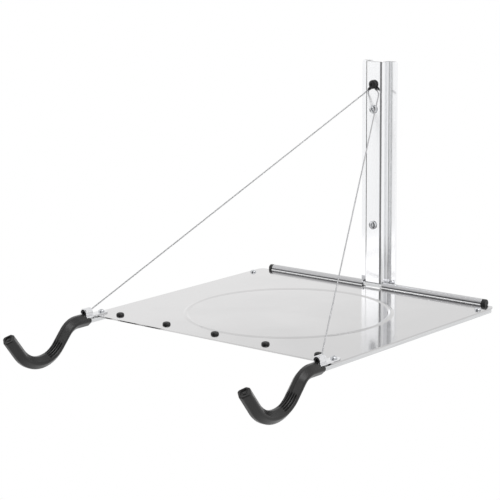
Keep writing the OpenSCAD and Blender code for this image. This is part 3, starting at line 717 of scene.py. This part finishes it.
def hook_line(start, tip_run, step):
    """(forward, up, slope, distance) from the tray's front edge, in the hook's own plane."""
    x1, y1 = LEAD + DROP_R * sin(DROP), -DROP_R * (1 - cos(DROP))
    x2, y2 = x1 + DROP_RUN * cos(DROP), y1 - DROP_RUN * sin(DROP)
    mx, my = x2 + CRADLE_R * sin(DROP), y2 + CRADLE_R * cos(DROP)
    x3, y3 = mx + CRADLE_R * sin(TIP), my - CRADLE_R * cos(TIP)
    legs = [(LEAD - start, lambda s: (start + s, 0, 0)),
            (DROP_R * DROP, lambda s: (LEAD + DROP_R * sin(s / DROP_R),
                                       -DROP_R * (1 - cos(s / DROP_R)), -s / DROP_R)),
            (DROP_RUN, lambda s: (x1 + s * cos(DROP), y1 - s * sin(DROP), -DROP)),
            (CRADLE_R * (DROP + TIP), lambda s: (mx + CRADLE_R * sin(s / CRADLE_R - DROP),
                                                 my - CRADLE_R * cos(s / CRADLE_R - DROP), s / CRADLE_R - DROP)),
            (tip_run, lambda s: (x3 + s * cos(TIP), y3 + s * sin(TIP), TIP))]
    line, gone = [], 0.0
    for length, place in legs:
        n = max(1, round(length / step))
        line += [(*place(length * k / n), gone + length * k / n) for k in range(n)]
        gone += length
    return line + [(*legs[-1][1](tip_run), gone)]

def on_hook(side, station, up, across):
    """A point beside the hook's line, in the rack's frame."""
    x, y, slope, _ = station
    return (side * ARM_X - across, FRONT_Y - (x - up * sin(slope)), ARM_Z + y + up * cos(slope))

line = hook_line(SLEEVE_START, TIP_RUN + SLEEVE_CAP, step=1.0)
print("sleeve's line:", round(line[-1][3], 1), "mm long in", len(line), "steps")

# %% Hook arms
TAIL_X = 275.5 - ARM_W / 2              # middle of the arm's round rear end, behind the tray's front edge
BAR_EDGE = 0.4

def bar_section(width):
    pts = []
    for sx, sy, a in ((1, 1, 0), (-1, 1, 90), (-1, -1, 180), (1, -1, 270)):
        pts += arc(sx * (ARM_T / 2 - BAR_EDGE), sy * (width / 2 - BAR_EDGE), BAR_EDGE, a, a + 90, 3)
    return pts

def hook_arm(side):
    stations = []
    for k in range(9):
        back = ARM_W / 2 * cos(radians(90 * k / 8))
        stations.append(((-TAIL_X - back, 0, 0, 0), max(0.9, 2 * sqrt(max(0.0, (ARM_W / 2) ** 2 - back ** 2)))))
    stations += [(station, ARM_W) for station in hook_line(-TAIL_X + 1, TIP_RUN, step=2.5)]
    return skin([[on_hook(side, place, u, w) for u, w in bar_section(width)] for place, width in stations])

for side, word in SIDES:
    piece("arm_" + word, hook_arm(side), arm_steel, "tray", ["hook_arm_" + word], crease=40)

# %% [markdown]
# ## Rubber sleeves
# The sleeves are moulded grips. Seen across, they are eight-sided with soft corners, which gives the light and dark
# bands along the curve. Near the tray the top is cut flat to make room for the cable's anchor, and the closed tip
# has an oval recess with a small boss.

# %% Sleeve section
SLEEVE_W, SLEEVE_T, SLEEVE_RISE, TIP_R = 14.7, 12.7, 1.0, 1.2

def soft_octagon(angle, share=1.0, sharp=30):
    """Radius of an eight-sided section with soft corners; angle 0 points to the hook's inner face."""
    flats = ((0, SLEEVE_T / 2), (45, 5.95), (90, SLEEVE_W / 2), (135, 6.1), (180, SLEEVE_T / 2))
    pull = 0.0
    for at, far in flats:
        for sign in ((1, -1) if 0 < at < 180 else (1,)):
            pull += max(0.0, cos(angle - sign * radians(at)) / far) ** sharp
    return share * pull ** (-1 / sharp)

# angles round the section, close together on the inner face, where the grooves are
ANGLES = [radians(-76 + 152 * k / 110) for k in range(110)] + [radians(76 + 208 * k / 46) for k in range(46)]

# %% [markdown]
# ### Grooves
# Where the bicycle rests, seven grooves are moulded into the inner half of each sleeve. They aren't cut: the sleeve's
# radius is smaller at their angles and fades back at both ends, which keeps the surface one clean skin.

# %% Grooves
GROOVES, GROOVE_W = (-64, -43, -22, 0, 22, 43, 64), 6.5         # middles and half width, in degrees
GROOVE_DEEP, GROOVE_START, GROOVE_END, GROOVE_FADE = 0.95, 45.0, 68.0, 1.2

def groove_depth(distance, angle):
    fade = min(1.0, max(0.0, min(distance - GROOVE_START, GROOVE_END - distance) / GROOVE_FADE))
    round_it = (degrees(angle) + 180) % 360 - 180
    return GROOVE_DEEP * fade * max(max(0.0, 1 - (abs(round_it - g) / GROOVE_W) ** 4) for g in GROOVES)

# %% [markdown]
# ### The sleeve's skin
# Rings follow one another from the bore, round the mouth, along the hook and over the closed tip into its recess.

# %% Sleeve
def sleeve_ring(side, station, share=1.0):
    """One ring round the hook; room is how high it may rise under the tray."""
    ring, room = [], 3.0 + max(0.0, station[0] - 17.0) * 8
    for a in ANGLES:
        r = soft_octagon(a, share) - groove_depth(station[3], a)
        ring.append(on_hook(side, station, min(SLEEVE_RISE + r * cos(a), room), r * sin(a)))
    return ring

def bore_ring(side, station):
    """The bar's own section with a little room, so that the sleeve starts close round the bar."""
    high, wide = ARM_T / 2 + 0.1, ARM_W / 2 + 0.1
    return [on_hook(side, station, max(-high, min(high, 9 * cos(a))), max(-wide, min(wide, 9 * sin(a))))
            for a in ANGLES]

def beyond(station, more):
    x, y, slope, s = station
    return (x + more * cos(slope), y + more * sin(slope), slope, s + more)

def sleeve(side):
    line = hook_line(SLEEVE_START, TIP_RUN + SLEEVE_CAP - TIP_R, step=0.9)
    rings = [bore_ring(side, beyond(line[0], 2.5)), bore_ring(side, beyond(line[0], 0.15)),
             sleeve_ring(side, line[0], 0.93), sleeve_ring(side, beyond(line[0], 0.35), 0.99)]
    rings += [sleeve_ring(side, s) for s in line[1:]]
    end = line[-1]
    rings += [sleeve_ring(side, beyond(end, TIP_R * sin(radians(a))), 1 - 0.16 * (1 - cos(radians(a))))
              for a in (20, 40, 60, 80, 90)]
    for more, share in ((1.2, 0.66), (1.05, 0.62), (0.1, 0.60), (0.0, 0.56), (0.0, 0.34), (0.1, 0.31), (0.6, 0.29),
                        (0.75, 0.25), (0.75, 0.02)):
        rings.append(sleeve_ring(side, beyond(end, more), share))
    return skin(rings)

# %% Painted shade in the grooves
# Groove faces deeper than this get the darker rubber copy, as painted shade.
GROOVE_DARK = 0.45                      # deeper than this, light never reaches the rubber

def shade_grooves(sleeve, side):
    sleeve.data.materials.append(groove_painted_shade)
    count = 0
    for face in sleeve.data.polygons:
        place = face.center / MM
        near = min(line, key=lambda s: hypot(FRONT_Y - s[0] - place.y, ARM_Z + s[1] - place.z))
        up = (FRONT_Y - near[0] - place.y) * -sin(near[2]) + (place.z - ARM_Z - near[1]) * cos(near[2])
        if groove_depth(near[3], atan2(place.x - side * ARM_X, up - SLEEVE_RISE)) > GROOVE_DARK:
            face.material_index = 1
            count += 1
    print(sleeve.name, count, "faces in the grooves")

for side, word in SIDES:
    grip = piece("sleeve_" + word, sleeve(side), sleeve_rubber, "tray", ["hook_sleeve_" + word], crease=55)
    shade_grooves(grip, side)

# %% [markdown]
# ## Tray screws and bumpers
# Four small pan-head screws hold the arms, and the front pair also holds the cable anchors. The five bumpers are
# moulded rubber buttons: a low dome with a dimple, a stem through the sheet and a barb that keeps them in.

# %% Tray screws
FOOT_T = 1.5

def tray_screw(side, front):
    lift, y = (FOOT_T, SCREW_FRONT_Y) if front else (0.0, SCREW_REAR_Y)
    spiral = thread(root=1.2, crest=1.48, pitch=0.5, start=0.3, end=-(lift + SHEET + ARM_T), steps=16)
    spin = Matrix.Rotation(radians(15 if front else 40), 4, "Z")
    place = Matrix.Translation((side * ARM_X, y, DECK_Z + lift))
    return moved(joined(cross_head(d=6.4, h=2.2), spiral), place @ spin)

for side, word in SIDES:
    for front, end in ((True, "front"), (False, "rear")):
        piece(f"tray_screw_{end}_{word}_cross", tray_screw(side, front), zinc, "tray", [f"tray_screw_{end}_{word}"])

# %% Bumpers
BUMPER_STEP, BUMPER_IN = 63.4, 15.3

def bumper(i):
    dome = [(0.01, 2.25), (0.5, 2.25), (0.85, 2.4), (1.25, 2.58), (1.9, 2.6), (2.7, 2.46), (3.3, 2.15), (3.75, 1.65),
            (4.0, 1.05), (4.08, 0.45), (4.0, 0.1), (3.85, 0.0), (1.7, 0.0), (1.7, -1.65), (2.45, -1.75),
            (2.48, -2.0), (1.2, -3.6), (0.01, -3.7)]
    return moved(lathe(dome, 40), Matrix.Translation(((i - 3) * BUMPER_STEP, FRONT_Y + BUMPER_IN, DECK_Z)))

for i in range(1, 6):
    piece(f"bumper_button_{i}", bumper(i), bumper_rubber, "tray", [f"bumper_{i}"], crease=40)

# %% [markdown]
# ## Cable anchors
# At each front corner a chrome barrel stands on a foot that the screw clamps to the tray. The rope comes in from
# behind, a swaged ball stops it inside, and a black plug closes the mouth. The barrel is turned and the foot is an
# outline with a round end, joined by a small fillet.

# %% Anchors
BARREL_R, BARREL_LEN, ANCHOR_Y, ANCHOR_Z = 4.5, 10.0, FRONT_Y - 15.8, DECK_Z + 4.9
FOOT_HALF, FOOT_BEHIND = 5.0, 7.0       # half its width, and its reach behind the screw
PLUG_IN, PLUG_R, PLUG_LEN = 0.4, 3.2, 3.5

def anchor_shape(side):
    bore, deep, e = 3.25, 8.8, 0.4
    barrel = lathe([(0.01, deep), (bore, deep), (bore, e), (bore + 0.35, 0), (BARREL_R - e, 0), (BARREL_R, e),
                    (BARREL_R, BARREL_LEN - 0.8), (BARREL_R - 0.8, BARREL_LEN), (0.01, BARREL_LEN)], 56)
    barrel = moved(barrel, along((0, 1, 0), (side * ARM_X, ANCHOR_Y, ANCHOR_Z)))
    end = arc(0, SCREW_FRONT_Y + FOOT_BEHIND - FOOT_HALF, FOOT_HALF, 0, 180, 20)
    foot = [(x + side * ARM_X, y) for x, y in [(-FOOT_HALF, ANCHOR_Y), (FOOT_HALF, ANCHOR_Y)] + end]
    return barrel, extruded(foot, DECK_Z, DECK_Z + FOOT_T)

def anchor_fillet(side):
    """The solder-like corner that runs from the foot up to the barrel."""
    left = [(-4.9, 1.2), (-4.9, 1.5), (-4.3, 1.62), (-3.75, 2.0), (-3.4, 2.7)]
    section = left + [(0, 3.2)] + [(-x, z) for x, z in reversed(left)]
    return skin([[(side * ARM_X + x, y, DECK_Z + z) for x, z in section]
                 for y in (ANCHOR_Y + 0.3, ANCHOR_Y + BARREL_LEN - 0.3)])

def anchor_plug(side):
    plug = lathe([(0.01, 0), (PLUG_R - 0.2, 0), (PLUG_R, 0.25), (PLUG_R, PLUG_LEN - 0.2),
                  (PLUG_R - 0.2, PLUG_LEN), (0.01, PLUG_LEN)], 40)
    return moved(cut(plug, hexagon(1.75, -1, 2.0)), along((0, 1, 0), (side * ARM_X, ANCHOR_Y + PLUG_IN, ANCHOR_Z)))

for side, word in SIDES:
    barrel, foot = anchor_shape(side)
    piece(f"anchor_barrel_{word}", barrel, chrome, "tray", [f"anchor_{word}"])
    piece(f"anchor_foot_{word}", foot, chrome, "tray", [], bevel=0.2)
    piece(f"anchor_corner_{word}", anchor_fillet(side), chrome, "tray", [], crease=50)
    piece(f"anchor_mouth_plug_{word}", anchor_plug(side), oxide, "tray", [f"anchor_plug_{word}"], crease=25)

# %% [markdown]
# ## Bolt, washer, nut and eyelets
# One black button-head bolt near the rail's top clamps both ropes' eyelets, with a washer and a nut inside the rail.
# Each eyelet is a punched ring, a flat tongue and a barrel that was crimped on the rope.

# %% Bolt, washer and nut
EYELET_T, WASHER_T, NUT_HALF, NUT_T = 0.8, 1.2, 5.0, 5.0

def button_bolt():
    d, h = 9.4, 1.9
    dome = [(0.01, 0), (d / 2 - 0.1, 0), (d / 2, 0.12), (d / 2, 0.4)]
    dome += [(d / 2 * cos(radians(a)) ** 0.7, 0.4 + (h - 0.4) * sin(radians(a)) ** 0.95) for a in (15, 30, 45, 58)]
    head = lathe(dome + [(2.5, h), (0.01, h)], 48)
    spiral = thread(root=2.6, crest=2.98, pitch=1.0, start=0.2, end=-11.5, steps=20)
    bolt = joined(cut(head, hexagon(2.05, 0.8, h + 1)), spiral)
    return moved(bolt, along((0, -1, 0), (0, RAIL_FRONT - 2 * EYELET_T, BOLT_Z)))

def washer():
    ring = flat_ring(3.25, 6.0, WASHER_T, 0.1)
    return moved(ring, along((0, 1, 0), (0, RAIL_FRONT + RAIL_WALL, BOLT_Z)))

def hex_nut():
    turned = lathe([(0.01, 0), (NUT_HALF, 0), (5.8, 0.45), (5.8, NUT_T - 0.45), (NUT_HALF, NUT_T), (0.01, NUT_T)], 48)
    body = cut(hexagon(NUT_HALF / cos(pi / 6), 0, NUT_T), turned, "INTERSECT")
    body = cut(body, lathe([(3.05, -1), (3.05, 6)], 40))
    return moved(body, along((0, 1, 0), (0, RAIL_FRONT + RAIL_WALL + WASHER_T, BOLT_Z)))

piece("button_bolt", button_bolt(), oxide, "rail", ["cable_bolt"])
piece("bolt_washer", washer(), zinc, "rail", ["cable_bolt_washer"])
piece("bolt_nut", hex_nut(), zinc, "rail", ["cable_bolt_nut"])

# %% Eyelets
EYELET_R, CRIMP_R, CRIMP_END, EYELET_ANGLE = 4.6, 1.2, 8.0, radians(46)

def eyelet_way(side):
    return Vector((side * sin(EYELET_ANGLE), 0, -cos(EYELET_ANGLE)))

def eyelet_back(side):
    return RAIL_FRONT - (0 if side == LEFT else EYELET_T)

def on_crimp(side, far):
    """A place on the crimp barrel's axis, so far from the bolt."""
    return Vector((0, eyelet_back(side) - CRIMP_R - 0.2, BOLT_Z)) + far * eyelet_way(side)

def eyelet(side):
    ring = moved(flat_ring(3.13, EYELET_R, EYELET_T, 0.15), along((0, -1, 0), (0, eyelet_back(side), BOLT_Z)))
    turn = Matrix.Translation((0, eyelet_back(side), BOLT_Z)) @ Matrix.Rotation(-side * EYELET_ANGLE, 4, "Y")
    tongue = moved(box(-1.5, 1.5, -EYELET_T, -0.02, -5.6, -3.9), turn)
    waist = [(0.72, 0), (1.0, 0), (CRIMP_R, 0.2), (CRIMP_R, 0.6), (1.05, 0.85), (1.05, 1.15), (CRIMP_R, 1.4),
             (CRIMP_R, 1.8), (1.05, 2.05), (1.05, 2.35), (CRIMP_R, 2.6), (CRIMP_R, 2.9), (1.0, 3.1), (0.01, 3.1)]
    barrel = moved(lathe(waist, 28), along(-eyelet_way(side), on_crimp(side, CRIMP_END)))
    return joined(ring, tongue, barrel)

for side, word in SIDES:
    piece("eyelet_ring_" + word, eyelet(side), oxide, "rail", ["eyelet_" + word])

# %% [markdown]
# ## Stay cables
# The stays are wire rope, 1.4 mm thick. Six strands wind round each other, so the section is a six-lobed flower that
# turns as it moves along the route. The route leaves the crimp, bends once towards the anchor and then runs straight,
# because the tray's weight keeps the rope taut. When the tray folds up the rope goes slack, but here the rope is
# fixed in place and hangs on neither the rail nor the tray.

# %% Rope route
CABLE_R, LAY, BEND = 0.7, 9.0, 4.0
BALL_R, BALL_GAP, ROPE_IN, ROPE_SHORT = 2.2, 0.15, 2.3, 2.1     # the rope starts in the crimp and ends in the ball

def stop_place(side):
    return Vector((side * ARM_X, ANCHOR_Y + PLUG_IN + PLUG_LEN + BALL_GAP + BALL_R, ANCHOR_Z))

def rope_route(side, step=0.8):
    out = eyelet_way(side)
    start, elbow = on_crimp(side, CRIMP_END - ROPE_IN), on_crimp(side, CRIMP_END + BEND)
    stop = stop_place(side)
    stay = (stop - elbow).normalized()
    points = [start + (elbow - BEND * out - start) * k / 3 for k in range(3)]
    points += [elbow - (1 - t) ** 2 * BEND * out + t ** 2 * BEND * stay for t in (k / 10 for k in range(10))]
    first, last = elbow + BEND * stay, stop - ROPE_SHORT * stay
    count = int((last - first).length / step)
    return points + [first + (last - first) * k / count for k in range(count + 1)], stay

# %% Rope
TRAY_SHARE, LOBE, ROUND = 0.91, 0.26, 24        # where the tray's part starts, the lobes' depth, points in a ring

def wound_rope(side):
    points, stay = rope_route(side)
    flat = eyelet_way(side).cross(stay).normalized()
    rings, gone = [], 0.0
    for i, p in enumerate(points):
        if i:
            gone += (p - points[i - 1]).length
        ahead = (points[min(i + 1, len(points) - 1)] - points[max(i - 1, 0)]).normalized()
        turn = ahead.cross(flat)
        ring = []
        for k in range(ROUND):
            a = 2 * pi * k / ROUND
            r = CABLE_R * (1 - LOBE * (1 - abs(cos(3 * a))))
            b = a + 2 * pi * gone / LAY
            ring.append(p + r * (cos(b) * flat + sin(b) * turn))
        rings.append(ring)
    print("rope", "left" if side == LEFT else "right", round(gone), "mm")
    return skin(rings)

for side, word in SIDES:
    cable = piece(f"stay_rope_{word}", wound_rope(side), rope, None, [f"cable_{word}"], crease=80)
    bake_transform(cable)
    ball = lathe([(BALL_R * sin(radians(a)) + 0.005, -BALL_R * cos(radians(a))) for a in range(0, 181, 12)], 32)
    piece(f"rope_ball_{word}", moved(ball, along((0, 1, 0), stop_place(side))), zinc, "tray", [f"cable_stop_{word}"])
